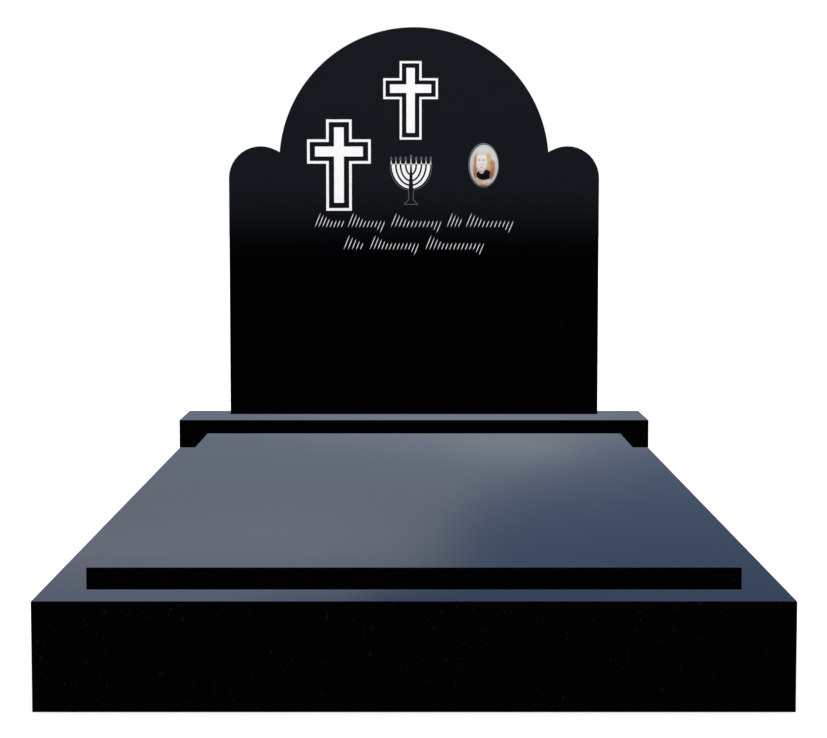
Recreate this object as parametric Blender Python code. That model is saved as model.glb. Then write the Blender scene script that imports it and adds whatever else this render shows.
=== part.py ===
"""A grave monument of polished black granite: kerb, ledger, plinth and headstone, with an oval ceramic plaque.

Metres, +Z up, the front towards -Y. The origin is on the ground, under the middle of the kerb.
Heights on the headstone's face are given as drops from the top of its arch.
"""

import math

import bmesh
import bpy
from mathutils import Matrix, Vector

# Kerb: the granite course on the ground, hollow inside
KERB_WIDTH = 1.000
KERB_LENGTH = 1.900
KERB_HEIGHT = 0.147

# Ledger: the cover slab, with a strip of the kerb's top left showing around it
LEDGER_THICKNESS = 0.030
LEDGER_SIDE_MARGIN = 0.060
LEDGER_FRONT_MARGIN = 0.080
LEDGER_BEARING = 0.040  # how far each edge of the ledger lies on the kerb

# Plinth: the low block across the head end
PLINTH_DEPTH = 0.200
PLINTH_HEIGHT = 0.0587

# Headstone: a tablet with a round arch between two round shoulders
TABLET_WIDTH = 0.803
TABLET_HEIGHT = 0.839
TABLET_THICKNESS = 0.080
SHOULDER_RADIUS = 0.069
SHOULDER_CROWN_HEIGHT = 0.5835
SHOULDER_TURN = math.radians(36.6)  # how far past its crown a shoulder turns down to the arch
ARCH_SEGMENTS = 64
SHOULDER_SEGMENTS = 14
TABLET_EDGE_ANGLE = math.radians(60)  # an edge of the tablet that turns by more than this gets a chamfer

# Stone edges and joints
ARRIS = 0.0005  # the small chamfer on every polished edge
BED_JOINT = 0.0003

# Crosses: a sunk cross inside a sunk outline, with shares of its own height
UPPER_CROSS_HEIGHT = 0.169
UPPER_CROSS_DROP = 0.0724
UPPER_CROSS_OFFSET = -0.0073
LOWER_CROSS_HEIGHT = 0.1971
LOWER_CROSS_DROP = 0.1977
LOWER_CROSS_OFFSET = -0.1627
CROSS_HALF_WIDTH = 0.3505
CROSS_HALF_SHAFT = 0.1407
CROSS_ARM_DROP = 0.2172
CROSS_ARM_HEIGHT = 0.2668
CROSS_BAND = 0.0295
CROSS_GAP = 0.0568
CROSS_ARM_GAP = 0.0491  # above and below the arms, where the outline runs closer
CROSS_DEPTH = 0.003

# Candelabrum: four pairs of curved branches, drawn by the sunk spaces between them
CANDELABRUM_DROP = 0.2949  # to the rim, where the candles stand
CANDELABRUM_OFFSET = -0.0066
BRANCHES = ((0.0114, 0.0217), (0.0227, 0.0350), (0.0328, 0.0447), (0.0438, 0.0539))  # reach and depth
BRANCH_HALF_THICKNESS = 0.0018
BRANCH_SEGMENTS = 10
STEM_HALF_TOP = 0.0015
STEM_SPREAD = 0.064  # how much a side of the stem moves out for each metre down
CANDLE_REACHES = (0.0, 0.0114, 0.0227, 0.0327, 0.0426)
CANDLE_HEIGHT = 0.0087
CENTRE_CANDLE_HEIGHT = 0.0126
CANDLE_HALF_THICKNESS = 0.0010
CANDLE_HALF_FOOT = 0.0023
CANDLE_FOOT_RISE = 0.0018
RIM_GAP = 0.0005
RIM_THICKNESS = 0.0011
FLAME_HEIGHT = 0.0080
FLAME_WIDTH = 0.0050
FLAME_LINE = 0.0009
FLAME_GAP = 0.0005
FLAME_SEGMENTS = 8
SILHOUETTE_LINE = 0.001  # the thin line around the bowl, the stem and the foot
SILHOUETTE_REACH = 0.0453
SILHOUETTE_DEPTH = 0.0550
SILHOUETTE_FULLNESS = 2.1  # how full the bowl is: 2 would be an ellipse
STEM_NECK_HALF = 0.0056
STEM_WAIST_HALF = 0.0044
STEM_WAIST_DROP = 0.0752
FOOT_HALF_WIDTH = 0.0149
FOOT_DROP = 0.0861
CANDELABRUM_DEPTH = 0.002

# Inscription: rows of slanted strokes that aren't letters, in groups as long as words
ROW_DROPS = (0.4318, 0.4802)
ROW_WORDS = (
    ((-0.2158, -0.1522), (-0.1441, -0.0628), (-0.0506, 0.0600), (0.0711, 0.1024), (0.1126, 0.2161)),
    ((-0.1532, -0.1107), (-0.0964, 0.0111), (0.0248, 0.1525)),
)
STROKE_PITCH = 0.0086
RISING_STROKES = 4  # a group starts tall and comes down over this many strokes
HANGING_STROKES = 2  # a long group goes below its line over this many at its end
LONG_GROUP = 8  # the fewest strokes after the first of a group that ends so
STROKE_WIDTH = 0.0019
STROKE_LEAN = math.radians(22.0)
STROKE_HEIGHT = 0.0162
TALL_STROKE_HEIGHT = 0.0334
STROKE_TAIL = 0.0120
STROKE_DEPTH = 0.0015

# Portrait plaque: an oval of glazed ceramic with a crowned face
PLAQUE_WIDTH = 0.0664
PLAQUE_HEIGHT = 0.0960
PLAQUE_EDGE = 0.004
PLAQUE_CROWN = 0.003
PLAQUE_DROP = 0.2968
PLAQUE_OFFSET = 0.1507
PLAQUE_SEGMENTS = 48
PLAQUE_RINGS = (0.97, 0.85, 0.65, 0.40, 0.15)  # shares of the half width where the crowned face is stepped
PLAQUE_SMOOTH_ANGLE = math.radians(40)

CUTTER_REACH = 0.005  # how far a cutter stands out of the face that it cuts
MERGE_DISTANCE = 0.00001
FLAT_ANGLE = math.radians(0.5)

# Places that follow from the sizes above
KERB_FRONT = -KERB_LENGTH / 2
KERB_BACK = KERB_LENGTH / 2
BED_TOP = KERB_HEIGHT + BED_JOINT
LEDGER_HALF_WIDTH = KERB_WIDTH / 2 - LEDGER_SIDE_MARGIN
LEDGER_FRONT = KERB_FRONT + LEDGER_FRONT_MARGIN
PLINTH_FRONT = KERB_BACK - PLINTH_DEPTH
PLINTH_TOP = BED_TOP + PLINTH_HEIGHT
TABLET_FRONT = KERB_BACK - TABLET_THICKNESS
TABLET_FOOT = PLINTH_TOP + BED_JOINT
TABLET_TOP = TABLET_FOOT + TABLET_HEIGHT


def clear_scene():
    for obj in list(bpy.data.objects):
        bpy.data.objects.remove(obj, do_unlink=True)


def new_collection(name):
    collection = bpy.data.collections.new(name)
    bpy.context.scene.collection.children.link(collection)
    return collection


def new_material(name, colour, roughness):
    material = bpy.data.materials.new(name)
    material.use_nodes = True
    shader = material.node_tree.nodes["Principled BSDF"]
    shader.inputs["Base Color"].default_value = (*colour, 1.0)
    shader.inputs["Roughness"].default_value = roughness
    shader.inputs["Metallic"].default_value = 0.0
    return material


def place_object(name, mesh, collection, material=None):
    obj = bpy.data.objects.new(name, mesh)
    if material is not None:
        mesh.materials.clear()
        mesh.materials.append(material)
    collection.objects.link(obj)
    return obj


def chamfer(bm, edges):
    bmesh.ops.bevel(bm, geom=edges, offset=ARRIS, offset_type="OFFSET", segments=1, profile=0.5,
                    affect="EDGES", material=-1)


def stone_block(name, low, high, collection, material):
    """A sawn and polished block between two corners, with a chamfer on every edge."""
    size = Vector(high) - Vector(low)
    bm = bmesh.new()
    bmesh.ops.create_cube(bm, size=1.0, matrix=Matrix.Diagonal((*size, 1.0)))
    chamfer(bm, bm.edges[:])
    mesh = bpy.data.meshes.new(name)
    bm.to_mesh(mesh)
    bm.free()
    block = place_object(name, mesh, collection, material)
    block.location = (Vector(low) + Vector(high)) / 2
    return block


def cut_with(obj, cutter):
    modifier = obj.modifiers.new(cutter.name, "BOOLEAN")
    modifier.operation = "DIFFERENCE"
    modifier.solver = "EXACT"
    modifier.object = cutter
    cutter.hide_render = True
    cutter.display_type = "WIRE"


def standing_plate(name, outlines, front, back, collection, material=None):
    """An upright flat plate from closed outlines of (x, z) points, where an outline in another is a hole."""
    curve = bpy.data.curves.new(name + "_outline", "CURVE")
    curve.dimensions = "2D"
    curve.fill_mode = "BOTH"
    curve.extrude = (back - front) / 2
    for outline in outlines:
        spline = curve.splines.new("POLY")
        spline.points.add(len(outline) - 1)
        for point, (x, z) in zip(spline.points, outline):
            point.co = (x, z, 0.0, 1.0)
        spline.use_cyclic_u = True
    guide = place_object(name + "_outline", curve, collection)
    guide.location = (0.0, (front + back) / 2, 0.0)
    guide.rotation_euler = (math.pi / 2, 0.0, 0.0)
    bpy.context.view_layer.update()

    mesh = bpy.data.meshes.new_from_object(guide.evaluated_get(bpy.context.evaluated_depsgraph_get()))
    mesh.name = name
    bm = bmesh.new()
    bm.from_mesh(mesh)
    bmesh.ops.remove_doubles(bm, verts=bm.verts[:], dist=MERGE_DISTANCE)
    bmesh.ops.beautify_fill(bm, faces=bm.faces[:], edges=bm.edges[:])
    bmesh.ops.dissolve_limit(bm, angle_limit=FLAT_ANGLE, verts=bm.verts[:], edges=bm.edges[:])
    bmesh.ops.recalc_face_normals(bm, faces=bm.faces[:])
    bm.to_mesh(mesh)
    bm.free()
    plate = place_object(name, mesh, collection, material)
    plate.matrix_world = guide.matrix_world.copy()
    bpy.data.objects.remove(guide, do_unlink=True)
    return plate


def arc(centre, reach, depth, start, end, segments):
    """Points along an ellipse from one angle to another, both ends among them."""
    turns = [start + (end - start) * step / segments for step in range(segments + 1)]
    return [(centre[0] + reach * math.cos(turn), centre[1] + depth * math.sin(turn)) for turn in turns]


def mirrored(points):
    return [(-x, z) for x, z in reversed(points)]


def moved(points, offset, height):
    return [(x + offset, z + height) for x, z in points]


def tablet_outline():
    """The tablet's front, from its right foot over the arch to its left foot."""
    half_width = TABLET_WIDTH / 2
    shoulder = (half_width - SHOULDER_RADIUS, SHOULDER_CROWN_HEIGHT - SHOULDER_RADIUS)
    shoulder_end = math.pi / 2 + SHOULDER_TURN
    shoulder_arc = arc(shoulder, SHOULDER_RADIUS, SHOULDER_RADIUS, 0.0, shoulder_end, SHOULDER_SEGMENTS)
    notch_x, notch_z = shoulder_arc[-1]
    rise = TABLET_HEIGHT - notch_z
    arch_radius = (rise * rise + notch_x * notch_x) / (2 * rise)
    arch_centre = (0.0, TABLET_HEIGHT - arch_radius)
    spring = math.atan2(notch_z - arch_centre[1], notch_x)
    arch_arc = arc(arch_centre, arch_radius, arch_radius, spring, math.pi - spring, ARCH_SEGMENTS)
    points = [(half_width, 0.0)] + shoulder_arc + arch_arc[1:-1] + mirrored([(half_width, 0.0)] + shoulder_arc)
    return moved(points, 0.0, TABLET_FOOT)


def cross_outline(height, inset, arm_inset):
    """A Latin cross hung from the middle of its top edge, drawn in by an inset, and its arms by their own."""
    half_width = CROSS_HALF_WIDTH * height - inset
    half_shaft = CROSS_HALF_SHAFT * height - inset
    arm_top = -CROSS_ARM_DROP * height - arm_inset
    arm_foot = -(CROSS_ARM_DROP + CROSS_ARM_HEIGHT) * height + arm_inset
    right = [
        (half_shaft, -inset),
        (half_shaft, arm_top),
        (half_width, arm_top),
        (half_width, arm_foot),
        (half_shaft, arm_foot),
        (half_shaft, inset - height),
    ]
    return right + mirrored(right)


def cross_outlines(height, drop, offset):
    band = CROSS_BAND * height
    gap = CROSS_GAP * height
    arm_gap = CROSS_ARM_GAP * height
    insets = ((0.0, 0.0), (band, band), (band + gap, band + arm_gap))
    return [moved(cross_outline(height, *inset), offset, TABLET_TOP - drop) for inset in insets]


def stem_half_width(drop):
    return STEM_HALF_TOP + STEM_SPREAD * drop


def branch_curve(reach, depth):
    """Half of a bowl, from the rim at its outer end down to the side of the stem."""
    end = math.acos(stem_half_width(depth) / reach)
    return arc((0.0, 0.0), reach, -depth, 0.0, end, BRANCH_SEGMENTS)


def space_outlines():
    """The sunk spaces on the right of the stem, each between one branch and the next one out."""
    outlines = []
    inner = [(stem_half_width(0.0), 0.0)]
    for reach, depth in BRANCHES:
        outer = branch_curve(reach - BRANCH_HALF_THICKNESS, depth - BRANCH_HALF_THICKNESS)
        outlines.append(outer + inner[::-1])
        inner = branch_curve(reach + BRANCH_HALF_THICKNESS, depth + BRANCH_HALF_THICKNESS)
    return outlines


def candle_row_outline():
    """The rim line with all the candles on it, in one outline."""
    reaches = [-reach for reach in reversed(CANDLE_REACHES[1:])] + list(CANDLE_REACHES)
    rim_top = RIM_GAP + RIM_THICKNESS
    points = [(reaches[0] - CANDLE_HALF_FOOT, RIM_GAP)]
    for reach in reaches:
        height = CANDLE_HEIGHT if reach else CENTRE_CANDLE_HEIGHT
        points += [
            (reach - CANDLE_HALF_FOOT, rim_top),
            (reach - CANDLE_HALF_THICKNESS, rim_top + CANDLE_FOOT_RISE),
            (reach - CANDLE_HALF_THICKNESS, height),
            (reach + CANDLE_HALF_THICKNESS, height),
            (reach + CANDLE_HALF_THICKNESS, rim_top + CANDLE_FOOT_RISE),
            (reach + CANDLE_HALF_FOOT, rim_top),
        ]
    points.append((reaches[-1] + CANDLE_HALF_FOOT, RIM_GAP))
    return points


def drop_outline(width, height):
    """A flame: a drop with its point at the top and its foot at height 0."""
    widest = 4 / (3 * math.sqrt(3))  # the largest value that the bulge below reaches
    points = []
    for step in range(FLAME_SEGMENTS):
        turn = 2 * math.pi * step / FLAME_SEGMENTS
        bulge = math.sin(turn) * math.sin(turn / 2) / widest
        points.append((width / 2 * bulge, height * (1 + math.cos(turn)) / 2))
    return points


def flame_outlines():
    outlines = []
    for reach in CANDLE_REACHES:
        foot = (CANDLE_HEIGHT if reach else CENTRE_CANDLE_HEIGHT) + FLAME_GAP
        outer = drop_outline(FLAME_WIDTH, FLAME_HEIGHT)
        hollow = drop_outline(FLAME_WIDTH - 2 * FLAME_LINE, FLAME_HEIGHT - 3 * FLAME_LINE)
        inner = moved(hollow, 0.0, FLAME_LINE)
        for side in {reach, -reach}:
            outlines += [moved(outer, side, foot), moved(inner, side, foot)]
    return outlines


def ribbon(path, thickness):
    """The outline of an open line of the given thickness along a path."""
    points = [Vector(point) for point in path]
    left, right = [], []
    for index, point in enumerate(points):
        before = point - points[index - 1] if index else points[1] - points[0]
        after = points[index + 1] - point if index + 1 < len(points) else before
        normal_before = Vector((-before.y, before.x)).normalized()
        normal_after = Vector((-after.y, after.x)).normalized()
        shift = (normal_before + normal_after) * (thickness / 2) / (1 + normal_before.dot(normal_after))
        left.append(tuple(point + shift))
        right.append(tuple(point - shift))
    return left + right[::-1]


def silhouette_outline():
    """The thin line that runs down the bowl and the stem, around the foot and up again."""
    power = 2 / SILHOUETTE_FULLNESS
    end = math.acos((STEM_NECK_HALF / SILHOUETTE_REACH) ** (1 / power))
    unit_arc = arc((0.0, 0.0), 1.0, 1.0, 0.0, end, BRANCH_SEGMENTS)
    right = [(SILHOUETTE_REACH * x ** power, -SILHOUETTE_DEPTH * z ** power) for x, z in unit_arc]
    right += [(STEM_WAIST_HALF, -STEM_WAIST_DROP), (FOOT_HALF_WIDTH, -FOOT_DROP)]
    return ribbon(right + mirrored(right), SILHOUETTE_LINE)


def candelabrum_outlines():
    spaces = space_outlines()
    shapes = spaces + [mirrored(space) for space in spaces]
    shapes += [candle_row_outline(), silhouette_outline()] + flame_outlines()
    return [moved(shape, CANDELABRUM_OFFSET, TABLET_TOP - CANDELABRUM_DROP) for shape in shapes]


def stroke_outline(foot_x, foot, top):
    """A slanted chisel stroke, pointed at both ends, from one height to another above the row's line."""
    slant = math.tan(STROKE_LEAN)
    low = foot + (top - foot) / 4
    high = top - (top - foot) / 4
    half = STROKE_WIDTH / 2
    return [
        (foot_x + foot * slant, foot),
        (foot_x + low * slant + half, low),
        (foot_x + high * slant + half, high),
        (foot_x + top * slant, top),
        (foot_x + high * slant - half, high),
        (foot_x + low * slant - half, low),
    ]


def stroke_extent(index, last):
    """The foot and top of one stroke in a group that is counted from 0 to its last stroke."""
    rise = max(0.0, 1 - index / RISING_STROKES) * (TALL_STROKE_HEIGHT - STROKE_HEIGHT)
    hang = max(0.0, 1 - (last - index) / HANGING_STROKES) if last >= LONG_GROUP else 0.0
    return -hang * STROKE_TAIL, STROKE_HEIGHT + rise


def inscription_outlines():
    outlines = []
    for drop, words in zip(ROW_DROPS, ROW_WORDS):
        for start, end in words:
            room = end - start - STROKE_HEIGHT * math.tan(STROKE_LEAN)
            gaps = round(room / STROKE_PITCH)
            for index in range(gaps + 1):
                foot, top = stroke_extent(index, gaps)
                stroke = stroke_outline(start + room * index / gaps, foot, top)
                outlines.append(moved(stroke, 0.0, TABLET_TOP - drop))
    return outlines


def build_kerb(collection, cutters, granite):
    """A course with equal walls at the sides, open below, and a head rail that carries the plinth."""
    low = (-KERB_WIDTH / 2, KERB_FRONT, 0.0)
    high = (KERB_WIDTH / 2, KERB_BACK, KERB_HEIGHT)
    kerb = stone_block("kerb", low, high, collection, granite)
    hollow_half_width = LEDGER_HALF_WIDTH - LEDGER_BEARING
    hollow_low = (-hollow_half_width, LEDGER_FRONT + LEDGER_BEARING, -CUTTER_REACH)
    hollow_high = (hollow_half_width, PLINTH_FRONT - LEDGER_BEARING, KERB_HEIGHT + CUTTER_REACH)
    cut_with(kerb, stone_block("kerb_hollow", hollow_low, hollow_high, cutters, granite))


def build_ledger(collection, granite):
    low = (-LEDGER_HALF_WIDTH, LEDGER_FRONT, BED_TOP)
    high = (LEDGER_HALF_WIDTH, PLINTH_FRONT - BED_JOINT, BED_TOP + LEDGER_THICKNESS)
    stone_block("ledger", low, high, collection, granite)


def build_plinth(collection, granite):
    low = (-KERB_WIDTH / 2, PLINTH_FRONT, BED_TOP)
    high = (KERB_WIDTH / 2, KERB_BACK, PLINTH_TOP)
    stone_block("plinth", low, high, collection, granite)


def build_headstone(collection, cutters, granite):
    """The tablet, its front and back edges chamfered, then the emblems and the inscription cut in."""
    tablet = standing_plate("headstone", [tablet_outline()], TABLET_FRONT, KERB_BACK, collection, granite)
    bm = bmesh.new()
    bm.from_mesh(tablet.data)
    face_edges = [edge for edge in bm.edges if edge.calc_face_angle() > TABLET_EDGE_ANGLE and edge.is_convex]
    chamfer(bm, face_edges)
    bm.to_mesh(tablet.data)
    bm.free()

    crosses = cross_outlines(UPPER_CROSS_HEIGHT, UPPER_CROSS_DROP, UPPER_CROSS_OFFSET)
    crosses += cross_outlines(LOWER_CROSS_HEIGHT, LOWER_CROSS_DROP, LOWER_CROSS_OFFSET)
    cuts = (
        ("cross_cutter", crosses, CROSS_DEPTH),
        ("candelabrum_cutter", candelabrum_outlines(), CANDELABRUM_DEPTH),
        ("inscription_cutter", inscription_outlines(), STROKE_DEPTH),
    )
    for name, outlines, depth in cuts:
        cutter = standing_plate(name, outlines, TABLET_FRONT - CUTTER_REACH, TABLET_FRONT + depth, cutters)
        cut_with(tablet, cutter)


def build_plaque(collection, ceramic):
    """An oval disc with an upright edge and a face that is crowned in steps towards its middle."""
    half_width = PLAQUE_WIDTH / 2
    half_height = PLAQUE_HEIGHT / 2
    bm = bmesh.new()
    oval = Matrix.Diagonal((half_width, half_height, 1.0, 1.0))
    bmesh.ops.create_circle(bm, segments=PLAQUE_SEGMENTS, radius=1.0, cap_ends=True, matrix=oval)
    cap = bm.faces[:]
    share_before, height_before = 1.0, 0.0
    steps = [(1.0, PLAQUE_EDGE)]
    steps += [(share, PLAQUE_EDGE + PLAQUE_CROWN * (1 - share * share)) for share in PLAQUE_RINGS]
    for share, height in steps:
        raised = bmesh.ops.extrude_face_region(bm, geom=cap)["geom"]
        if share_before < 1.0 or height_before > 0.0:
            bmesh.ops.delete(bm, geom=cap, context="FACES_ONLY")
        ring = [item for item in raised if isinstance(item, bmesh.types.BMVert)]
        cap = [item for item in raised if isinstance(item, bmesh.types.BMFace)]
        bmesh.ops.translate(bm, verts=ring, vec=(0.0, 0.0, height - height_before))
        shrink = share / share_before
        bmesh.ops.scale(bm, verts=ring, vec=(shrink, shrink, 1.0))
        share_before, height_before = share, height
    bmesh.ops.recalc_face_normals(bm, faces=bm.faces[:])
    mesh = bpy.data.meshes.new("portrait_plaque")
    bm.to_mesh(mesh)
    bm.free()
    mesh.shade_smooth()
    mesh.set_sharp_from_angle(angle=PLAQUE_SMOOTH_ANGLE)
    plaque = place_object("portrait_plaque", mesh, collection, ceramic)
    plaque.location = (PLAQUE_OFFSET, TABLET_FRONT - BED_JOINT, TABLET_TOP - PLAQUE_DROP)
    plaque.rotation_euler = (math.pi / 2, 0.0, 0.0)


def main():
    clear_scene()
    monument = new_collection("grave_monument")
    cutters = new_collection("cutters")
    granite = new_material("polished_black_granite", (0.004, 0.0045, 0.006), 0.06)
    ceramic = new_material("glazed_ceramic", (0.60, 0.59, 0.57), 0.12)
    build_kerb(monument, cutters, granite)
    build_ledger(monument, granite)
    build_plinth(monument, granite)
    build_headstone(monument, cutters, granite)
    build_plaque(monument, ceramic)


if __name__ == "__main__":
    main()
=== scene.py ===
"""Dresses a grave monument of polished black granite: its finish, the paint in its cuts, and its plaque.

The frame brings the kerb, the ledger, the plinth and the headstone as solids, with the emblems and the rows
of strokes already cut into the headstone. Sizes are in metres, unless a name ends in _MM or _mm.
"""

import math

import bmesh
import bpy
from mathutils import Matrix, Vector


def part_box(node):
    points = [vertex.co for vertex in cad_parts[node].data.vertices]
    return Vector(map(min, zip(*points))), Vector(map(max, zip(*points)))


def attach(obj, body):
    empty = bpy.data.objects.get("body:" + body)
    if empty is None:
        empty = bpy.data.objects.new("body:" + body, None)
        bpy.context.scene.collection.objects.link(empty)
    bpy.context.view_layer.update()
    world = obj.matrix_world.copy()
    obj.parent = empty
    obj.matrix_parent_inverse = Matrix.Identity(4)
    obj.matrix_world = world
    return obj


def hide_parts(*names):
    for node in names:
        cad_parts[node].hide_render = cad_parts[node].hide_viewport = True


bl_info = {
    "name": "Black granite grave monument",
    "version": (1, 0, 0),
    "blender": (4, 5, 0),
    "location": "View3D > Sidebar > Monument",
    "description": "Polished granite, painted cuts, a glazed portrait plaque and a pale studio",
    "category": "Object",
}

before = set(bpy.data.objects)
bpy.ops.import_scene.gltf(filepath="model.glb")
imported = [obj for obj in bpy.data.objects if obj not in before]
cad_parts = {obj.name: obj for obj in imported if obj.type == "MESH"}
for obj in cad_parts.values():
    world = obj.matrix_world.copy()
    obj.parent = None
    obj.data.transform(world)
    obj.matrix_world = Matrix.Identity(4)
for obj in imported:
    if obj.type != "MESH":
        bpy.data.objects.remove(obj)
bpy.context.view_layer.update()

# Places that come from the solids
TABLET_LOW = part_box("headstone")[0]
PLAQUE_LOW, PLAQUE_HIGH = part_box("portrait_plaque")
KERB_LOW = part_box("kerb")[0]
PLAQUE_CENTRE = (PLAQUE_LOW + PLAQUE_HIGH) / 2
PLAQUE_HALF_WIDTH = (PLAQUE_HIGH.x - PLAQUE_LOW.x) / 2
PLAQUE_HALF_HEIGHT = (PLAQUE_HIGH.z - PLAQUE_LOW.z) / 2
PLAQUE_THICKNESS = PLAQUE_HIGH.y - PLAQUE_LOW.y

# How deep the headstone's cuts are, which tells them apart
CROSS_DEPTH = 0.003
CANDELABRUM_DEPTH = 0.002
STROKE_DEPTH = 0.0015
DEPTH_TOLERANCE = 0.0001
FLOOR_NORMAL = -0.99  # the floor of a cut faces the front at least as much as this
LARGE_SHAPE = 0.06  # in the candelabrum only the candle row is wider and only the outline is taller

WELD_DISTANCE = 0.00001
ARCH_SMOOTH_ANGLE = math.radians(20)
PLAQUE_SMOOTH_ANGLE = math.radians(40)
FILLET_STEPS = 6

MM_PER_METRE = 1000.0

# Sizes of what the materials show, in millimetres
GRANITE_CLOUD_MM = 45.0
BRUSH_MARK_MM = 3.0
FLOOR_GRAIN_MM = 60.0
MOTTLE_MM = 2.5
STRAND_WIDTH_MM = 1.1
STRAND_LENGTH_MM = 16.0

POLISH_SPREAD = 0.3  # how much the polish of one crystal differs from another's, up and down
GRANITE_IOR = 1.5

# Sockets of a Mix node that mixes colours
MIX_SHARE = 0
MIX_BELOW = 6
MIX_ABOVE = 7
MIX_RESULT = 2

# The photograph's view, with its width and focal length in pixels
PHOTO_WIDTH = 827
PHOTO_FOCAL_LENGTH = 2043.0
PHOTO_SHIFT = 0.5  # how far to the right of the picture's middle the monument's middle lies
SENSOR_WIDTH_MM = 36.0
CAMERA_DISTANCE = 2.631  # from the kerb's front
CAMERA_HEIGHT = 0.661
CAMERA_PITCH = math.radians(4.566)

# The floor, and how far each light tilts from straight down and how widely it spreads
FLOOR_RADIUS = 40.0
FLOOR_SIDES = 64
KEY_TILT = math.radians(55)
KEY_SPREAD = math.radians(25)
TOP_TILT = 0.0
TOP_SPREAD = math.radians(60)

# The low sky behind the monument, which the tops mirror: its colours between two heights, each at its share
# of the way up, and the soft patches on it. Places in the sky are parts of a unit direction, across and up.
# Each patch gives its colour, its middle and half sizes, its turn in degrees, its softness and its strength.
SKY_LOW = 0.11
SKY_HIGH = 0.20
SKY_LAYERS = (
    (0.0, (0.235, 0.28, 0.365)),
    (0.22, (0.25, 0.295, 0.375)),
    (0.40, (0.27, 0.31, 0.385)),
    (0.60, (0.325, 0.365, 0.455)),
    (0.83, (0.26, 0.31, 0.42)),
    (1.0, (0.25, 0.30, 0.42)),
)
SKY_PATCHES = (
    ((0.34, 0.38, 0.465), (-0.068, 0.162), (0.050, 0.014), 0, 0.8, 0.6),
    ((0.27, 0.315, 0.395), (0.015, 0.154), (0.040, 0.025), 0, 0.8, 0.6),
    ((0.17, 0.225, 0.34), (0.064, 0.160), (0.040, 0.022), 0, 0.55, 1.0),
    ((0.18, 0.25, 0.39), (-0.038, 0.196), (0.038, 0.012), 0, 0.5, 0.85),
    ((0.13, 0.188, 0.302), (0.190, 0.190), (0.172, 0.078), 0, 0.25, 1.0),
    ((0.108, 0.162, 0.277), (0.145, 0.182), (0.100, 0.030), 0, 0.6, 0.9),
    ((0.102, 0.153, 0.265), (0.032, 0.206), (0.075, 0.025), 0, 0.15, 1.0),
    ((0.32, 0.37, 0.45), (0.02, 0.106), (0.080, 0.013), 0, 0.7, 0.75),
    ((0.37, 0.42, 0.49), (0.0475, 0.116), (0.030, 0.008), 0, 0.8, 0.7),
)

# The rest of what the stones mirror, from straight down to straight up, and what the camera sees behind them
SKY_BELOW = (0.06, 0.07, 0.08)
SKY_FLOOR = (0.45, 0.46, 0.48)
SKY_GROUND = (0.08, 0.09, 0.11)
SKY_FRONT_GROUND = (0.0, 0.0, 0.0)
SKY_FRONT_HAZE = (0.175, 0.217, 0.270)
SKY_FRONT = (0.20, 0.245, 0.33)
SKY_DOME = (0.80, 0.84, 0.92)
SKY_TOP = (0.25, 0.27, 0.31)
SKY_SEEN = (1.0, 1.0, 1.0)

# The two heights between which each colour passes into the next
FLOOR_STARTS = (-0.85, -0.60)
GROUND_STARTS = (-0.42, -0.22)
CLOUDS_START = (0.02, 0.09)
FRONT_HAZE_STARTS = (-0.024, 0.010)
FRONT_SKY_STARTS = (0.01, 0.08)
DOME_STARTS = (0.23, 0.55)
TOP_STARTS = (0.80, 0.98)
BACK_STARTS = (-0.25, 0.25)  # along Y, where the sky in front passes into the sky behind


def srgb(code):
    """The linear colour of an sRGB hex value."""
    shares = [int(code[start:start + 2], 16) / 255 for start in (1, 3, 5)]
    return tuple(s / 12.92 if s <= 0.04045 else ((s + 0.055) / 1.055) ** 2.4 for s in shares)


def colour_property(name, description, code):
    return bpy.props.FloatVectorProperty(
        name=name, description=description, subtype="COLOR", min=0.0, max=1.0, default=srgb(code))


class GraniteSettings(bpy.types.PropertyGroup):
    """The polished black granite of all four stones."""

    body: colour_property("Body", "Colour of most crystals", "#020202")
    dark_crystal: colour_property("Dark crystal", "Colour of the darkest crystals", "#010102")
    fleck: colour_property("Fleck", "Colour of the few silvery crystals", "#16181c")
    crystal: bpy.props.FloatProperty(
        name="Crystal", description="Width of one crystal", default=0.0013, unit="LENGTH")
    fleck_share: bpy.props.FloatProperty(
        name="Fleck share", description="Share of the crystals that are silvery", default=0.006,
        subtype="FACTOR", min=0.0, max=1.0)
    roughness: bpy.props.FloatProperty(
        name="Roughness", description="Roughness of the polish", default=0.045, subtype="FACTOR",
        min=0.0, max=1.0)


class PaintSettings(bpy.types.PropertyGroup):
    """The enamel that fills the cuts."""

    white: colour_property("White", "Enamel of the crosses and the candelabrum's spaces", "#f3f0eb")
    cream: colour_property("Cream", "Enamel of the candles and their rim", "#dfdacd")
    grey: colour_property("Grey", "Enamel of the flames", "#8f97a3")
    slate: colour_property("Slate", "Enamel of the candelabrum's thin outline", "#737882")
    silver: colour_property("Silver", "Enamel of the inscription's strokes", "#dededf")
    recess: bpy.props.FloatProperty(
        name="Recess", description="How far the paint stays below the granite's face", default=0.0004,
        unit="LENGTH")


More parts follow.
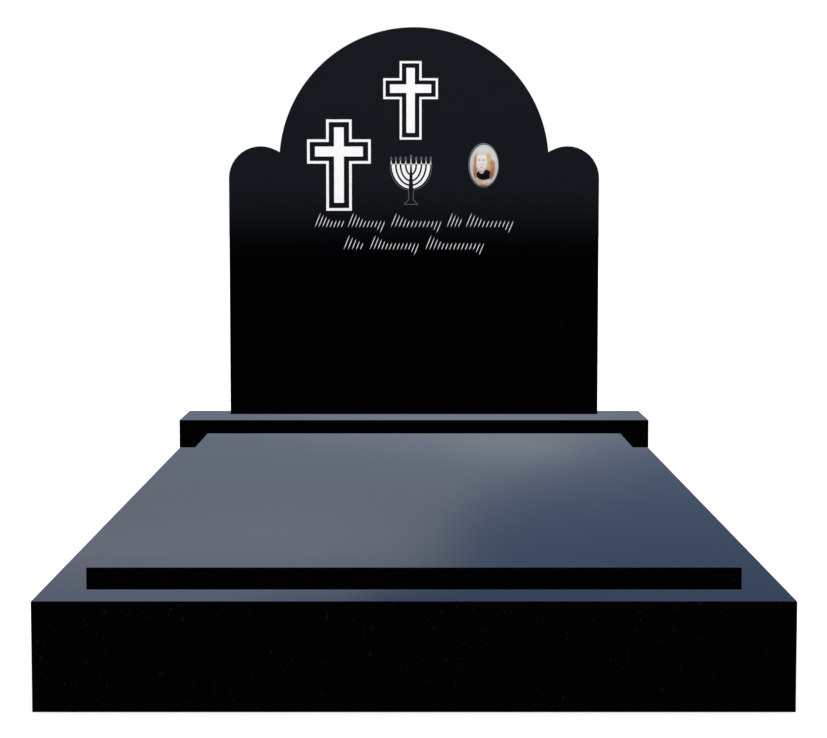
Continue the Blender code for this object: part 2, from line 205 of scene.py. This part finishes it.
class PlaqueSettings(bpy.types.PropertyGroup):
    """The glazed portrait plaque."""

    ceramic: colour_property("Ceramic", "The fired body at the edge, under a slate glaze", "#5b616c")
    rim: colour_property("Rim", "The painted line around the picture", "#434e63")
    ground: colour_property("Ground", "The picture's background", "#c5c0b7")
    ground_shade: colour_property("Ground shade", "Darker parts of the background", "#b7b4b0")
    skin: colour_property("Skin", "The face in the light", "#ddd7cf")
    skin_shade: colour_property("Skin shade", "The face in the shade", "#c6aa98")
    neck_shade: colour_property("Neck shade", "The shadows under the chin and the nose", "#9c7a66")
    eye_white: colour_property("Eye white", "The whites of the eyes", "#d9d8d5")
    blush: colour_property("Blush", "The cheeks", "#d2a08c")
    lips: colour_property("Lips", "The mouth", "#a9665a")
    brow: colour_property("Brow", "Brows, lids and eyes", "#5d463a")
    auburn: colour_property("Auburn", "The hair in the shade", "#a55d3a")
    tan: colour_property("Tan", "The hair in the light, and the cloth at the foot", "#c4a27a")
    ash: colour_property("Ash", "The hair on the crown", "#cac5bc")
    dress: colour_property("Dress", "The dark top", "#07090c")
    fillet: bpy.props.FloatProperty(
        name="Fillet", description="Rounding of the plaque's edge", default=0.0012, unit="LENGTH")
    edge: bpy.props.FloatProperty(
        name="Edge", description="Height of the plaque's edge", default=0.004, unit="LENGTH")
    segments: bpy.props.IntProperty(
        name="Segments", description="Sides of the oval", default=128, min=16)
    rings: bpy.props.IntProperty(
        name="Rings", description="Rings across the crowned face", default=16, min=4)


class StageSettings(bpy.types.PropertyGroup):
    """The floor and the lights."""

    floor: colour_property("Floor", "Colour of the floor", "#f4f4f4")
    key: bpy.props.FloatProperty(
        name="Key light", description="Strength of the soft light from behind the camera", default=1.3)
    top: bpy.props.FloatProperty(
        name="Top light", description="Strength of the soft light from above", default=2.6)


def add_node(tree, kind, settings=None, inputs=None):
    """Adds a node, sets its properties, and fills its inputs with values or with other nodes' outputs."""
    node = tree.nodes.new(kind)
    for name, value in (settings or {}).items():
        setattr(node, name, value)
    for name, value in (inputs or {}).items():
        socket = node.inputs[name]
        if isinstance(value, bpy.types.NodeSocket):
            tree.links.new(value, socket)
        elif socket.type == "RGBA" and len(value) == 3:
            socket.default_value = (*value, 1.0)
        else:
            socket.default_value = value
    return node


def new_material(name):
    """A material with only a Principled shader, and its node tree."""
    material = bpy.data.materials.new(name)
    material.use_nodes = True
    tree = material.node_tree
    tree.nodes.clear()
    shader = add_node(tree, "ShaderNodeBsdfPrincipled")
    add_node(tree, "ShaderNodeOutputMaterial", inputs={"Surface": shader.outputs["BSDF"]})
    return material, tree, shader


def millimetres(tree, centre=(0.0, 0.0, 0.0)):
    """The object's own coordinates, counted in millimetres from a centre given in metres."""
    place = add_node(tree, "ShaderNodeTexCoord")
    scaled = add_node(tree, "ShaderNodeMapping", {"vector_type": "TEXTURE"}, {
        "Vector": place.outputs["Object"],
        "Location": centre,
        "Scale": (1 / MM_PER_METRE,) * 3,
    })
    return scaled.outputs["Vector"]


def mix_colours(tree, share, below, above):
    mixed = add_node(tree, "ShaderNodeMix", {"data_type": "RGBA"}, {
        MIX_SHARE: share, MIX_BELOW: below, MIX_ABOVE: above})
    return mixed.outputs[MIX_RESULT]


def polished_granite(settings):
    """Black granite, sawn and polished to a mirror: crystals of about a millimetre, a few of them silvery,
    each polished a little differently, so that the reflection is crisp and the body almost black."""
    material, tree, shader = new_material("polished_black_granite")
    place = millimetres(tree)
    crystals = add_node(tree, "ShaderNodeTexVoronoi", inputs={
        "Vector": place, "Scale": 1 / (settings.crystal * MM_PER_METRE)})
    draw = add_node(tree, "ShaderNodeSeparateColor", inputs={"Color": crystals.outputs["Color"]})
    clouds = add_node(tree, "ShaderNodeTexNoise", inputs={
        "Vector": place, "Scale": 1 / GRANITE_CLOUD_MM, "Detail": 3.0})
    darkness = add_node(tree, "ShaderNodeMath", {"operation": "MULTIPLY"}, {
        0: draw.outputs["Red"], 1: clouds.outputs["Fac"]})
    body = mix_colours(tree, darkness.outputs[0], settings.body, settings.dark_crystal)
    is_fleck = add_node(tree, "ShaderNodeMath", {"operation": "LESS_THAN"}, {
        0: draw.outputs["Green"], 1: settings.fleck_share})
    colour = mix_colours(tree, is_fleck.outputs[0], body, settings.fleck)
    tree.links.new(colour, shader.inputs["Base Color"])
    polish = add_node(tree, "ShaderNodeMapRange", inputs={
        "Value": draw.outputs["Blue"],
        "To Min": settings.roughness * (1 - POLISH_SPREAD),
        "To Max": settings.roughness * (1 + POLISH_SPREAD),
    })
    tree.links.new(polish.outputs["Result"], shader.inputs["Roughness"])
    shader.inputs["IOR"].default_value = GRANITE_IOR
    return material


def enamel(name, colour, roughness=0.38):
    """Stone-carver's enamel, brushed thickly into a cut: even, satin, and faintly uneven on its surface."""
    material, tree, shader = new_material(name)
    place = millimetres(tree)
    brushed = add_node(tree, "ShaderNodeTexNoise", inputs={
        "Vector": place, "Scale": 1 / BRUSH_MARK_MM, "Detail": 4.0})
    tone = add_node(tree, "ShaderNodeMapRange", inputs={
        "Value": brushed.outputs["Fac"], "To Min": 0.97, "To Max": 1.0})
    shaded = add_node(tree, "ShaderNodeVectorMath", {"operation": "SCALE"}, {
        0: colour, "Scale": tone.outputs["Result"]})
    tree.links.new(shaded.outputs["Vector"], shader.inputs["Base Color"])
    bump = add_node(tree, "ShaderNodeBump", inputs={
        "Height": brushed.outputs["Fac"], "Strength": 0.15, "Distance": 0.0002})
    tree.links.new(bump.outputs["Normal"], shader.inputs["Normal"])
    shader.inputs["Roughness"].default_value = roughness
    return material


# The portrait, painted from back to front in soft ovals. Each row gives the name of the colour, the middle
# and the half sizes in millimetres across and up, the turn in degrees, the softness of the edge and the
# strength. The hair is a mix of auburn and tan strands, and the other names are settings of the plaque.
PORTRAIT = (
    ("ground_shade", (0.0, -16.0), (42.0, 30.0), 0, 0.6, 0.6),
    ("ash", (-2.0, 20.0), (17.5, 19.5), 0, 0.1, 1.0),
    ("ash", (12.0, 12.0), (12.0, 16.0), 20, 0.2, 1.0),
    ("tan", (-13.0, 14.0), (7.0, 13.0), -12, 0.35, 0.9),
    ("tan", (9.5, 12.0), (6.5, 14.0), 14, 0.4, 0.95),
    ("hair", (-18.0, -4.0), (4.4, 25.0), 2, 0.15, 1.0),
    ("hair", (16.0, -9.0), (8.6, 21.0), 7, 0.2, 1.0),
    ("tan", (-1.0, -38.0), (21.0, 10.5), 0, 0.12, 1.0),
    ("ground", (6.5, -34.5), (10.5, 4.4), -8, 0.3, 0.9),
    ("auburn", (-1.0, -46.0), (12.0, 4.5), 0, 0.25, 1.0),
    ("dress", (0.8, -20.4), (17.0, 11.4), 0, 0.1, 1.0),
    ("auburn", (-18.2, -15.0), (2.8, 13.0), -4, 0.35, 0.9),
    ("auburn", (18.4, -17.0), (4.2, 13.0), 10, 0.4, 0.9),
    ("skin_shade", (-4.2, -12.5), (5.4, 5.6), 0, 0.15, 1.0),
    ("neck_shade", (-4.2, -10.6), (5.6, 3.4), 0, 0.5, 0.8),
    ("skin_shade", (-3.6, 7.2), (13.4, 20.4), 0, 0.05, 1.0),
    ("skin", (-4.4, 8.6), (12.0, 18.4), 0, 0.22, 1.0),
    ("skin_shade", (-4.4, 25.0), (11.0, 4.0), 0, 0.6, 0.45),
    ("blush", (-10.2, 1.6), (3.4, 3.0), 0, 0.9, 0.35),
    ("blush", (2.0, 1.6), (3.4, 3.0), 0, 0.9, 0.35),
    ("skin_shade", (-9.0, 11.4), (3.6, 2.0), 0, 0.7, 0.45),
    ("skin_shade", (0.6, 11.4), (3.6, 2.0), 0, 0.7, 0.45),
    ("neck_shade", (-2.9, 6.4), (0.7, 4.6), 4, 0.9, 0.45),
    ("neck_shade", (-4.3, 1.4), (2.3, 0.8), 0, 0.6, 0.7),
    ("brow", (-9.2, 13.6), (3.4, 0.5), -6, 0.5, 0.65),
    ("brow", (0.8, 13.6), (3.4, 0.5), 6, 0.5, 0.65),
    ("eye_white", (-9.0, 10.0), (2.3, 1.0), 0, 0.3, 0.9),
    ("eye_white", (0.6, 10.0), (2.3, 1.0), 0, 0.3, 0.9),
    ("brow", (-9.0, 10.0), (1.0, 1.0), 0, 0.25, 0.95),
    ("brow", (0.6, 10.0), (1.0, 1.0), 0, 0.25, 0.95),
    ("brow", (-9.0, 11.1), (2.7, 0.38), 0, 0.5, 0.85),
    ("brow", (0.6, 11.1), (2.7, 0.38), 0, 0.5, 0.85),
    ("lips", (-4.3, -3.4), (3.6, 0.7), 0, 0.35, 0.85),
    ("lips", (-4.3, -4.5), (2.8, 0.9), 0, 0.4, 0.65),
    ("neck_shade", (-4.3, -7.0), (2.4, 0.7), 0, 0.8, 0.4),
    ("hair", (-17.8, 4.0), (2.6, 18.0), 4, 0.35, 1.0),
    ("tan", (10.6, 8.0), (2.8, 17.0), -6, 0.35, 1.0),
)
PORTRAIT_REACH = 0.925  # share of the plaque's half size where the painted rim begins
RIM_SHADOW_SHIFT = (0.8, -0.4)  # the picture's oval sits a little right of and below the plaque's middle, so the slate rim is wider at the upper left as a painted shadow
RIM_REACH = 0.98  # share where the rim ends and the fired body shows
RING_SOFTNESS = 0.006


def rising(tree, value, heights):
    """A mask that rises smoothly from nothing to one between two heights."""
    step = add_node(tree, "ShaderNodeMapRange", {"interpolation_type": "SMOOTHSTEP"}, {
        "Value": value, "From Min": heights[0], "From Max": heights[1]})
    return step.outputs["Result"]


def soft_oval(tree, place, middle, size, turn, softness, strength):
    """A mask that is as large as its strength inside an oval and fades to nothing across its edge."""
    unit = add_node(tree, "ShaderNodeMapping", {"vector_type": "TEXTURE"}, {
        "Vector": place,
        "Location": (middle[0], 0.0, middle[1]),
        "Rotation": (0.0, math.radians(turn), 0.0),
        "Scale": (size[0], 1.0, size[1]),
    })
    reach = add_node(tree, "ShaderNodeVectorMath", {"operation": "LENGTH"}, {0: unit.outputs["Vector"]})
    mask = add_node(tree, "ShaderNodeMapRange", {"interpolation_type": "SMOOTHSTEP"}, {
        "Value": reach.outputs["Value"],
        "From Min": 1 - softness,
        "From Max": 1 + softness,
        "To Min": strength,
        "To Max": 0.0,
    })
    return mask.outputs["Result"]


def painted_ceramic(settings):
    """Porcelain with a picture fired into it under a clear glaze: bright, glassy, with soft-edged colours."""
    material, tree, shader = new_material("glazed_portrait_ceramic")
    place = millimetres(tree, PLAQUE_CENTRE)
    flat = add_node(tree, "ShaderNodeVectorMath", {"operation": "MULTIPLY"}, {0: place, 1: (1.0, 0.0, 1.0)})
    flat_place = flat.outputs["Vector"]
    strands = add_node(tree, "ShaderNodeMapping", inputs={
        "Vector": flat_place, "Scale": (1 / STRAND_WIDTH_MM, 1.0, 1 / STRAND_LENGTH_MM)})
    strand_noise = add_node(tree, "ShaderNodeTexNoise", inputs={
        "Vector": strands.outputs["Vector"], "Scale": 1.0, "Detail": 2.0})
    strand_share = add_node(tree, "ShaderNodeMapRange", inputs={
        "Value": strand_noise.outputs["Fac"], "From Min": 0.42, "From Max": 0.62})
    mottle = add_node(tree, "ShaderNodeTexNoise", inputs={
        "Vector": flat_place, "Scale": 1 / MOTTLE_MM, "Detail": 3.0})
    mottle_share = add_node(tree, "ShaderNodeMapRange", inputs={
        "Value": mottle.outputs["Fac"], "From Min": 0.45, "From Max": 0.75})
    hair = mix_colours(tree, strand_share.outputs["Result"], settings.auburn, settings.tan)

    picture = mix_colours(tree, mottle_share.outputs["Result"], settings.ground, settings.ground_shade)
    for name, middle, size, turn, softness, strength in PORTRAIT:
        colour = hair if name == "hair" else getattr(settings, name)
        mask = soft_oval(tree, flat_place, middle, size, turn, softness, strength)
        picture = mix_colours(tree, mask, picture, colour)

    half_width = PLAQUE_HALF_WIDTH * MM_PER_METRE
    half_height = PLAQUE_HALF_HEIGHT * MM_PER_METRE
    # The first ring's oval is shifted, so the slate rim is wider at the upper left: a painted shadow along
    # that edge
    rings = ((PORTRAIT_REACH, RIM_SHADOW_SHIFT, settings.rim), (RIM_REACH, (0.0, 0.0), settings.ceramic))
    for reach, middle, colour in rings:
        size = (half_width * reach, half_height * reach)
        inside = soft_oval(tree, flat_place, middle, size, 0, RING_SOFTNESS, 1.0)
        picture = mix_colours(tree, inside, colour, picture)
    tree.links.new(picture, shader.inputs["Base Color"])
    shader.inputs["Roughness"].default_value = 0.3
    shader.inputs["Coat Weight"].default_value = 1.0
    shader.inputs["Coat Roughness"].default_value = 0.03
    return material


def pale_floor(settings):
    """Matt painted studio floor: even and without a reflection of its own."""
    material, tree, shader = new_material("matt_studio_floor")
    grain = add_node(tree, "ShaderNodeTexNoise", inputs={
        "Vector": millimetres(tree), "Scale": 1 / FLOOR_GRAIN_MM})
    tone = add_node(tree, "ShaderNodeMapRange", inputs={
        "Value": grain.outputs["Fac"], "To Min": 0.98, "To Max": 1.0})
    shaded = add_node(tree, "ShaderNodeVectorMath", {"operation": "SCALE"}, {
        0: settings.floor, "Scale": tone.outputs["Result"]})
    tree.links.new(shaded.outputs["Vector"], shader.inputs["Base Color"])
    shader.inputs["Roughness"].default_value = 0.9
    return material


def granite():
    """The one granite material that all the stones share."""
    found = bpy.data.materials.get("polished_black_granite")
    return found or polished_granite(bpy.context.scene.monument_granite)


def place_piece(name, bm, material):
    """Turns a bmesh into a piece that rides with the monument. The granite doesn't mirror its own pieces,
    as the photograph's tops and fronts mirror nothing but the sky."""
    mesh = bpy.data.meshes.new(name)
    bm.to_mesh(mesh)
    bm.free()
    mesh.materials.append(material)
    piece = bpy.data.objects.new(name, mesh)
    bpy.context.scene.collection.objects.link(piece)
    piece.visible_glossy = False
    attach(piece, "root")
    return piece


def headstone_bmesh():
    """A copy of the headstone's solid with its loose triangles joined."""
    bm = bmesh.new()
    bm.from_mesh(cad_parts["headstone"].data)
    bmesh.ops.remove_doubles(bm, verts=bm.verts[:], dist=WELD_DISTANCE)
    return bm


def cut_floors(depth):
    """The floors of all the cuts that are as deep as this, and nothing else."""
    bm = headstone_bmesh()
    bm.normal_update()
    floor = TABLET_LOW.y + depth
    others = []
    for face in bm.faces:
        offset = abs(face.calc_center_median().y - floor)
        if face.normal.y >= FLOOR_NORMAL or offset >= DEPTH_TOLERANCE:
            others.append(face)
    bmesh.ops.delete(bm, geom=others, context="FACES")
    return bm


def islands(bm):
    """The faces in groups that hang together, in the order of the mesh."""
    loose = dict.fromkeys(bm.faces)
    groups = []
    while loose:
        group = [next(iter(loose))]
        del loose[group[0]]
        for face in group:
            for neighbour in (other for edge in face.edges for other in edge.link_faces):
                if neighbour in loose:
                    del loose[neighbour]
                    group.append(neighbour)
        groups.append(group)
    return groups


def island_box(faces):
    """The lowest and highest corner of a group of faces."""
    points = [vert.co for face in faces for vert in face.verts]
    low = Vector((min(p.x for p in points), min(p.y for p in points), min(p.z for p in points)))
    high = Vector((max(p.x for p in points), max(p.y for p in points), max(p.z for p in points)))
    return low, high


def fill_cuts(name, depth, belongs, material):
    """Fills the cuts of one depth whose boxes belong to a piece, up to just below the granite's face."""
    bm = cut_floors(depth)
    others = [face for group in islands(bm) if not belongs(*island_box(group)) for face in group]
    bmesh.ops.delete(bm, geom=others, context="FACES")
    if not bm.faces:
        raise RuntimeError(f"the headstone has no cut for {name}")
    raised = bmesh.ops.extrude_face_region(bm, geom=bm.faces[:])["geom"]
    front = [item for item in raised if isinstance(item, bmesh.types.BMVert)]
    rise = depth - bpy.context.scene.monument_paint.recess
    bmesh.ops.translate(bm, verts=front, vec=(0.0, -rise, 0.0))
    bmesh.ops.recalc_face_normals(bm, faces=bm.faces[:])
    return place_piece(name, bm, material)


class MONUMENT_OT_stage(bpy.types.Operator):
    """Makes the camera, the floor, the lights and the sky"""

    bl_idname = "monument.stage"
    bl_label = "Stage"

    def execute(self, context):
        settings = context.scene.monument_stage
        self.make_camera(context)
        self.make_floor(context, settings)
        # One soft light from behind the camera and one from above
        self.make_light(context, "key_light", settings.key, KEY_TILT, KEY_SPREAD)
        self.make_light(context, "top_light", settings.top, TOP_TILT, TOP_SPREAD)
        self.make_sky(context)
        context.scene.view_settings.view_transform = "Standard"
        return {"FINISHED"}

    def make_camera(self, context):
        data = bpy.data.cameras.new("camera")
        data.sensor_width = SENSOR_WIDTH_MM
        data.lens = PHOTO_FOCAL_LENGTH / PHOTO_WIDTH * SENSOR_WIDTH_MM
        data.shift_x = -PHOTO_SHIFT / PHOTO_WIDTH
        camera = bpy.data.objects.new("camera", data)
        camera.location = (0.0, KERB_LOW.y - CAMERA_DISTANCE, CAMERA_HEIGHT)
        camera.rotation_euler = (math.pi / 2 - CAMERA_PITCH, 0.0, 0.0)
        context.scene.collection.objects.link(camera)
        context.scene.camera = camera

    def make_floor(self, context, settings):
        bm = bmesh.new()
        bmesh.ops.create_circle(bm, cap_ends=True, segments=FLOOR_SIDES, radius=FLOOR_RADIUS)
        mesh = bpy.data.meshes.new("studio_floor")
        bm.to_mesh(mesh)
        bm.free()
        mesh.materials.append(pale_floor(settings))
        floor = bpy.data.objects.new("studio_floor", mesh)
        floor.visible_glossy = False
        context.scene.collection.objects.link(floor)

    def make_light(self, context, name, strength, tilt, spread):
        data = bpy.data.lights.new(name, "SUN")
        data.energy = strength
        data.angle = spread
        light = bpy.data.objects.new(name, data)
        light.rotation_euler = (tilt, 0.0, 0.0)
        light.visible_glossy = False
        context.scene.collection.objects.link(light)

    def make_sky(self, context):
        """White for the camera. The stones mirror a cool, cloudy sky low behind the monument, a dim one
        behind the camera over a black ground, and a bright dome higher up that dims at its top. Below the
        horizon behind the monument they mirror dark ground, a pale floor and a dark place straight down."""
        world = bpy.data.worlds.new("studio_sky")
        context.scene.world = world
        world.use_nodes = True
        tree = world.node_tree
        tree.nodes.clear()
        direction = add_node(tree, "ShaderNodeTexCoord")
        part = add_node(tree, "ShaderNodeSeparateXYZ", inputs={"Vector": direction.outputs["Generated"]})
        height = part.outputs["Z"]
        rise = add_node(tree, "ShaderNodeMapRange", inputs={
            "Value": height, "From Min": SKY_LOW, "From Max": SKY_HIGH})
        layers = add_node(tree, "ShaderNodeValToRGB", inputs={"Fac": rise.outputs["Result"]})
        ramp = layers.color_ramp
        ramp.interpolation = "EASE"
        ramp.elements[0].color = (*SKY_LAYERS[0][1], 1.0)
        ramp.elements[1].color = (*SKY_LAYERS[-1][1], 1.0)
        for share, colour in SKY_LAYERS[1:-1]:
            ramp.elements.new(share).color = (*colour, 1.0)
        clouds = layers.outputs["Color"]
        flat = add_node(tree, "ShaderNodeVectorMath", {"operation": "MULTIPLY"}, {
            0: direction.outputs["Generated"], 1: (1.0, 0.0, 1.0)})
        for colour, middle, size, turn, softness, strength in SKY_PATCHES:
            mask = soft_oval(tree, flat.outputs["Vector"], middle, size, turn, softness, strength)
            clouds = mix_colours(tree, mask, clouds, colour)

        floor = mix_colours(tree, rising(tree, height, FLOOR_STARTS), SKY_BELOW, SKY_FLOOR)
        ground = mix_colours(tree, rising(tree, height, GROUND_STARTS), floor, SKY_GROUND)
        behind = mix_colours(tree, rising(tree, height, CLOUDS_START), ground, clouds)
        dim = mix_colours(tree, rising(tree, height, FRONT_SKY_STARTS), SKY_FRONT_HAZE, SKY_FRONT)
        in_front = mix_colours(tree, rising(tree, height, FRONT_HAZE_STARTS), SKY_FRONT_GROUND, dim)
        around = mix_colours(tree, rising(tree, part.outputs["Y"], BACK_STARTS), in_front, behind)
        dome = mix_colours(tree, rising(tree, height, TOP_STARTS), SKY_DOME, SKY_TOP)
        mirrored = mix_colours(tree, rising(tree, height, DOME_STARTS), around, dome)
        path = add_node(tree, "ShaderNodeLightPath")
        seen = mix_colours(tree, path.outputs["Is Camera Ray"], mirrored, SKY_SEEN)
        sky = add_node(tree, "ShaderNodeBackground", inputs={"Color": seen})
        add_node(tree, "ShaderNodeOutputWorld", inputs={"Surface": sky.outputs["Background"]})


class MONUMENT_OT_stones(bpy.types.Operator):
    """Gives the kerb, the ledger and the plinth their polished granite"""

    bl_idname = "monument.stones"
    bl_label = "Kerb, ledger and plinth"

    def execute(self, context):
        for name in ("kerb", "ledger", "plinth"):
            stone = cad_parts[name]
            stone.data.materials.clear()
            stone.data.materials.append(granite())
            stone.visible_glossy = False
        return {"FINISHED"}


class MONUMENT_OT_headstone(bpy.types.Operator):
    """Makes the headstone's polished surface, with its round edges shaded round"""

    bl_idname = "monument.headstone"
    bl_label = "Headstone"

    def execute(self, context):
        bm = headstone_bmesh()
        for face in bm.faces:
            face.smooth = True
        for edge in bm.edges:
            edge.smooth = edge.calc_face_angle(0.0) < ARCH_SMOOTH_ANGLE
        headstone = place_piece("polished_headstone", bm, granite())
        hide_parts("headstone")
        return {"FINISHED"}


class MONUMENT_OT_crosses(bpy.types.Operator):
    """Fills both crosses and their outlines with white enamel"""

    bl_idname = "monument.crosses"
    bl_label = "Crosses"

    def execute(self, context):
        white = enamel("white_enamel", context.scene.monument_paint.white)
        bm = cut_floors(CROSS_DEPTH)
        tops = [island_box(group)[1].z for group in islands(bm)]
        bm.free()
        divide = (min(tops) + max(tops)) / 2
        fill_cuts("upper_cross_enamel", CROSS_DEPTH, lambda low, high: high.z > divide, white)
        fill_cuts("lower_cross_enamel", CROSS_DEPTH, lambda low, high: high.z <= divide, white)
        return {"FINISHED"}


class MONUMENT_OT_candelabrum(bpy.types.Operator):
    """Fills the candelabrum: white between its branches, cream candles, grey flames and a slate outline"""

    bl_idname = "monument.candelabrum"
    bl_label = "Candelabrum"

    def execute(self, context):
        paint = context.scene.monument_paint
        white = bpy.data.materials.get("white_enamel") or enamel("white_enamel", paint.white)
        cream = enamel("cream_enamel", paint.cream)
        grey = enamel("grey_enamel", paint.grey)
        slate = enamel("slate_enamel", paint.slate)
        bm = cut_floors(CANDELABRUM_DEPTH)
        boxes = [island_box(group) for group in islands(bm)]
        bm.free()
        rim = min(low.z for low, high in boxes if self.is_candle_row(low, high))
        fill_cuts("candelabrum_enamel", CANDELABRUM_DEPTH,
                  lambda low, high: high.z < rim and not self.is_outline(low, high), white)
        fill_cuts("candle_enamel", CANDELABRUM_DEPTH, self.is_candle_row, cream)
        fill_cuts("flame_enamel", CANDELABRUM_DEPTH, lambda low, high: low.z > rim, grey)
        fill_cuts("candelabrum_outline_enamel", CANDELABRUM_DEPTH, self.is_outline, slate)
        return {"FINISHED"}

    @staticmethod
    def is_outline(low, high):
        return high.z - low.z > LARGE_SHAPE

    @staticmethod
    def is_candle_row(low, high):
        return high.x - low.x > LARGE_SHAPE and high.z - low.z < LARGE_SHAPE


class MONUMENT_OT_inscription(bpy.types.Operator):
    """Fills the two rows of strokes with silvery enamel"""

    bl_idname = "monument.inscription"
    bl_label = "Inscription rows"

    def execute(self, context):
        silver = enamel("silver_enamel", context.scene.monument_paint.silver, roughness=0.3)
        bm = cut_floors(STROKE_DEPTH)
        middles = [sum(corner.z for corner in island_box(group)) / 2 for group in islands(bm)]
        bm.free()
        divide = (min(middles) + max(middles)) / 2
        fill_cuts("inscription_row_1_enamel", STROKE_DEPTH,
                  lambda low, high: (low.z + high.z) / 2 > divide, silver)
        fill_cuts("inscription_row_2_enamel", STROKE_DEPTH,
                  lambda low, high: (low.z + high.z) / 2 <= divide, silver)
        return {"FINISHED"}


class MONUMENT_OT_plaque(bpy.types.Operator):
    """Makes the oval ceramic plaque with its crowned, glazed picture"""

    bl_idname = "monument.plaque"
    bl_label = "Portrait plaque"

    def execute(self, context):
        settings = context.scene.monument_plaque
        bm = bmesh.new()
        rim = [bm.verts.new(point) for point in self.profile(settings)]
        edges = [bm.edges.new(pair) for pair in zip(rim, rim[1:])]
        bmesh.ops.spin(bm, geom=rim + edges, cent=(0.0, 0.0, 0.0), axis=(0.0, 1.0, 0.0),
                       angle=2 * math.pi, steps=settings.segments, use_merge=True)
        bmesh.ops.remove_doubles(bm, verts=bm.verts[:], dist=WELD_DISTANCE)
        bmesh.ops.scale(bm, verts=bm.verts[:], vec=(1.0, 1.0, PLAQUE_HALF_HEIGHT / PLAQUE_HALF_WIDTH))
        bmesh.ops.translate(bm, verts=bm.verts[:], vec=(PLAQUE_CENTRE.x, PLAQUE_HIGH.y, PLAQUE_CENTRE.z))
        bmesh.ops.recalc_face_normals(bm, faces=bm.faces[:])
        for face in bm.faces:
            face.smooth = True
        for edge in bm.edges:
            edge.smooth = edge.calc_face_angle(0.0) < PLAQUE_SMOOTH_ANGLE
        plaque = place_piece("glazed_plaque", bm, painted_ceramic(settings))
        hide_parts("portrait_plaque")
        return {"FINISHED"}

    def profile(self, settings):
        """From the middle of the back, around the rounded edge, to the middle of the crowned face."""
        width = PLAQUE_HALF_WIDTH
        fillet = settings.fillet
        crown = PLAQUE_THICKNESS - settings.edge
        points = [(0.0, 0.0, 0.0), (width, 0.0, 0.0)]
        inner = width - fillet
        for step in range(FILLET_STEPS + 1):
            turn = math.radians(90 * step / FILLET_STEPS)
            rise = settings.edge - fillet + fillet * math.sin(turn)
            points.append((inner + fillet * math.cos(turn), -rise, 0.0))
        for ring in range(1, settings.rings + 1):
            share = 1 - ring / settings.rings
            points.append((inner * share, -(settings.edge + crown * (1 - share * share)), 0.0))
        return points


PIECES = (
    MONUMENT_OT_stage,
    MONUMENT_OT_stones,
    MONUMENT_OT_headstone,
    MONUMENT_OT_crosses,
    MONUMENT_OT_candelabrum,
    MONUMENT_OT_inscription,
    MONUMENT_OT_plaque,
)
SETTINGS = {
    "monument_granite": GraniteSettings,
    "monument_paint": PaintSettings,
    "monument_plaque": PlaqueSettings,
    "monument_stage": StageSettings,
}


class MONUMENT_PT_sidebar(bpy.types.Panel):
    """Lists the monument's pieces and settings"""

    bl_idname = "MONUMENT_PT_sidebar"
    bl_label = "Monument"
    bl_space_type = "VIEW_3D"
    bl_region_type = "UI"
    bl_category = "Monument"

    def draw(self, context):
        for piece in PIECES:
            self.layout.operator(piece.bl_idname)
        for name, group in SETTINGS.items():
            box = self.layout.box()
            for setting in group.__annotations__:
                box.prop(getattr(context.scene, name), setting)


def register():
    for group in SETTINGS.values():
        bpy.utils.register_class(group)
    for name, group in SETTINGS.items():
        setattr(bpy.types.Scene, name, bpy.props.PointerProperty(type=group))
    for piece in PIECES:
        bpy.utils.register_class(piece)
    bpy.utils.register_class(MONUMENT_PT_sidebar)


def unregister():
    bpy.utils.unregister_class(MONUMENT_PT_sidebar)
    for piece in reversed(PIECES):
        bpy.utils.unregister_class(piece)
    for name, group in SETTINGS.items():
        delattr(bpy.types.Scene, name)
        bpy.utils.unregister_class(group)


def main():
    register()
    bpy.ops.monument.stage()
    bpy.ops.monument.stones()
    bpy.ops.monument.headstone()
    bpy.ops.monument.crosses()
    bpy.ops.monument.candelabrum()
    bpy.ops.monument.inscription()
    bpy.ops.monument.plaque()


if __name__ == "__main__":
    main()
